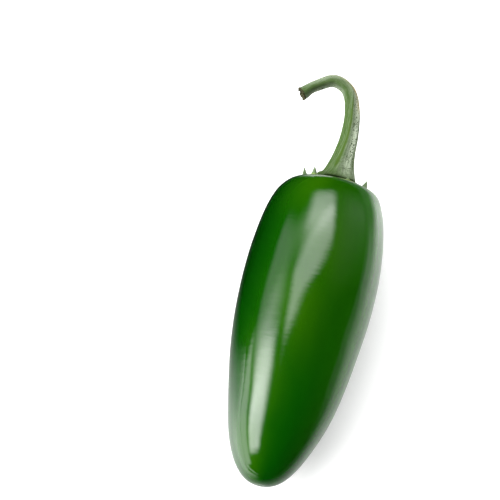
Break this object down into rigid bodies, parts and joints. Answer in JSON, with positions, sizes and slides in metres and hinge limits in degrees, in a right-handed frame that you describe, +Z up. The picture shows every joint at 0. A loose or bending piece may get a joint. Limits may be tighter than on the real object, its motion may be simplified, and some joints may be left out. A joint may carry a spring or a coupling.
{
  "type": "chilli pepper",
  "caption": "Fresh green chilli pepper lying on its side: a blunt glossy tapered pod with a toothed calyx and a curled, ridged stem.",
  "frame": {"origin": "middle of the small flat spot on the belly that the pepper rests on", "axes": "+Z up, +Y along the pod from its tip towards its stem, and the stem curls over towards -X"},
  "size_m": [0.033, 0.1038, 0.0327],
  "materials": {
    "pod_skin": "glossy waxy skin, deep green with a little yellow-green mottling",
    "calyx_green": "matte green with a yellow-green rim and tooth tips",
    "stem_green": "matte, lengthwise fibres, pale on the ridges, brown and woody at the cut end"
  },
  "bodies": {
    "root": {"pod": "pod_skin", "calyx": "calyx_green", "stem": "stem_green"}
  },
  "joints": []
}
